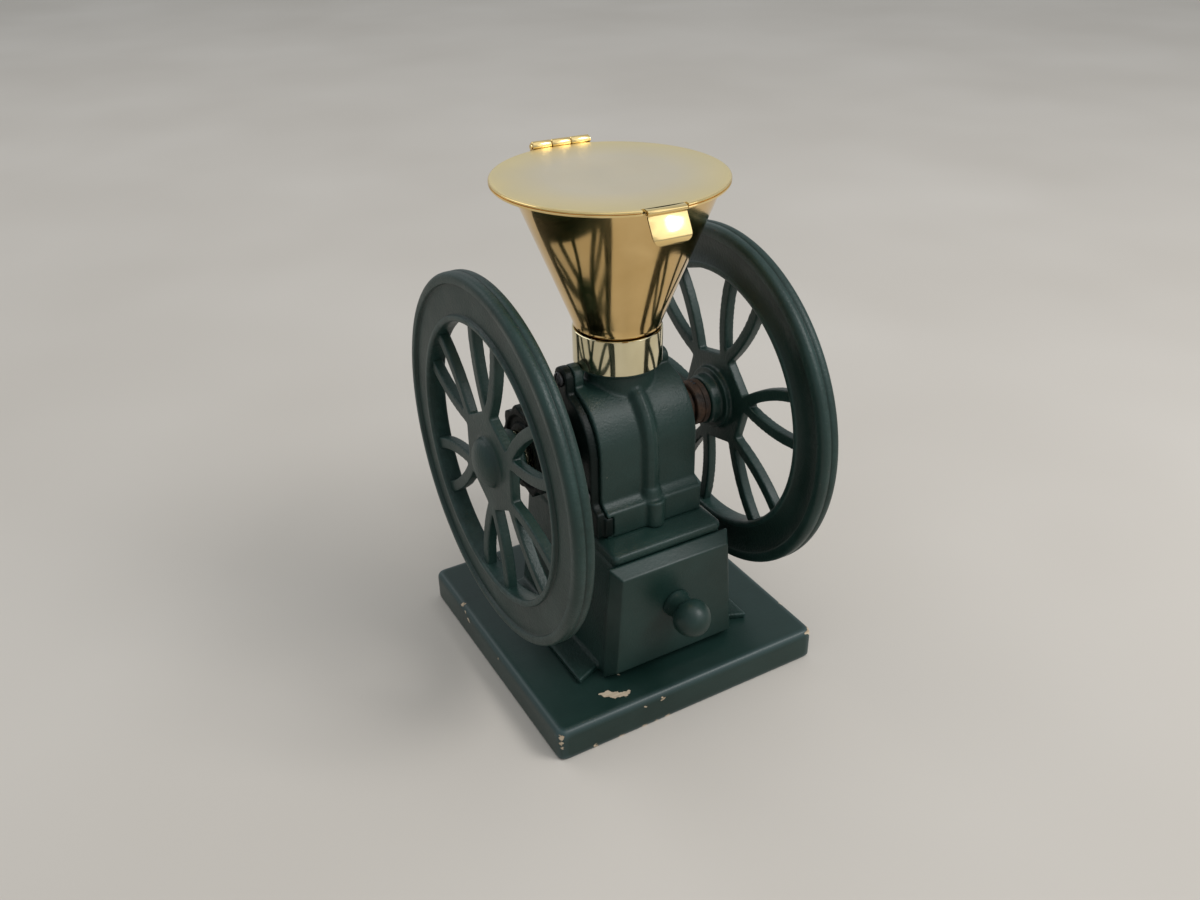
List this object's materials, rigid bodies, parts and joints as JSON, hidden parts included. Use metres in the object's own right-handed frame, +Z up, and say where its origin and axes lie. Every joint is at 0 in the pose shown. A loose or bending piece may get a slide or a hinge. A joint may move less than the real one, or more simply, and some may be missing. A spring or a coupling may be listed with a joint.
{
  "type": "manual coffee grinder",
  "caption": "Table coffee mill with twin cast flywheels on a cross shaft, a brass cone hopper with a hinged lid, and a drawer in its pedestal on a wooden board.",
  "frame": {"origin": "centre of the wooden board's underside, on the table", "axes": "+Z up, the shaft along X with the grip on the +X wheel, the drawer opens towards -Y"},
  "size_m": [0.1946, 0.19, 0.2719],
  "materials": {
    "green_paint": "old satin enamel on cast iron, dark bottle green, worn at the edges",
    "board_paint": "dark green paint on wood, chipped to pale wood at the edges",
    "polished_brass": "polished brass with fine turning marks and light tarnish",
    "satin_brass": "pale satin brass, slightly tarnished",
    "steel": "bright turned steel",
    "dark_steel": "blackened steel",
    "bronze": "brown bearing bronze",
    "rusty_iron": "rusty brown iron",
    "burr_iron": "bare grey cast iron",
    "tinplate": "dull tinned sheet"
  },
  "bodies": {
    "root": {"base_board": "board_paint", "drawer_housing": "green_paint", "foot_screw_1": "dark_steel", "foot_screw_2": "dark_steel", "foot_screw_3": "dark_steel", "foot_screw_4": "dark_steel", "roof_screw_1": "steel", "roof_screw_2": "steel", "roof_screw_3": "steel", "roof_screw_4": "steel", "grinding_housing": "green_paint", "left_side_cover": "green_paint", "left_cover_screw_1": "dark_steel", "left_cover_screw_2": "dark_steel", "left_cover_screw_3": "dark_steel", "left_bush": "bronze", "right_bush": "bronze", "fixed_burr": "burr_iron", "hopper_collar": "polished_brass"},
    "shaft": {"main_shaft": "steel", "feed_auger": "dark_steel", "turning_burr": "burr_iron", "burr_spring": "steel", "spring_washer": "steel", "thrust_washer": "polished_brass", "shaft_collar": "rusty_iron", "left_flywheel": "green_paint", "right_flywheel": "green_paint", "left_wheel_screw": "dark_steel", "right_wheel_screw": "dark_steel", "collar_screw": "dark_steel", "grip_bolt": "steel", "grip_washer": "steel"},
    "grip": {"crank_grip": "green_paint"},
    "nut": {"adjusting_nut": "green_paint"},
    "hopper": {"hopper_cone": "polished_brass", "hopper_hinge_leaf": "polished_brass", "hinge_pin": "polished_brass"},
    "lid": {"lid": "satin_brass", "lid_hinge_leaf": "polished_brass"},
    "drawer": {"drawer_box": "tinplate", "drawer_front": "green_paint", "drawer_knob": "green_paint", "knob_screw": "steel", "front_screw_1": "steel", "front_screw_2": "steel"}
  },
  "joints": [
    {"name": "shaft_spin", "type": "hinge", "parent": "root", "child": "shaft", "pos_m": [0, -0.0037, 0.1362], "axis": [1, 0, 0], "continuous": true},
    {"name": "grip_spin", "type": "hinge", "parent": "shaft", "child": "grip", "pos_m": [0.09, 0.05565, 0.19351], "axis": [1, 0, 0], "continuous": true},
    {"name": "nut_turn", "type": "hinge", "parent": "root", "child": "nut", "pos_m": [-0.051, -0.0037, 0.1362], "axis": [1, 0, 0], "range_deg": [-90, 90]},
    {"name": "hopper_lift", "type": "slide", "parent": "root", "child": "hopper", "axis": [0, 0, 1], "range_m": [0, 0.03]},
    {"name": "lid_hinge", "type": "hinge", "parent": "hopper", "child": "lid", "pos_m": [0.0018, 0.05442, 0.26949], "axis": [-0.9968, 0.0802, 0], "range_deg": [0, 105]},
    {"name": "drawer_slide", "type": "slide", "parent": "root", "child": "drawer", "axis": [0, -1, 0], "range_m": [0, 0.08]}
  ]
}
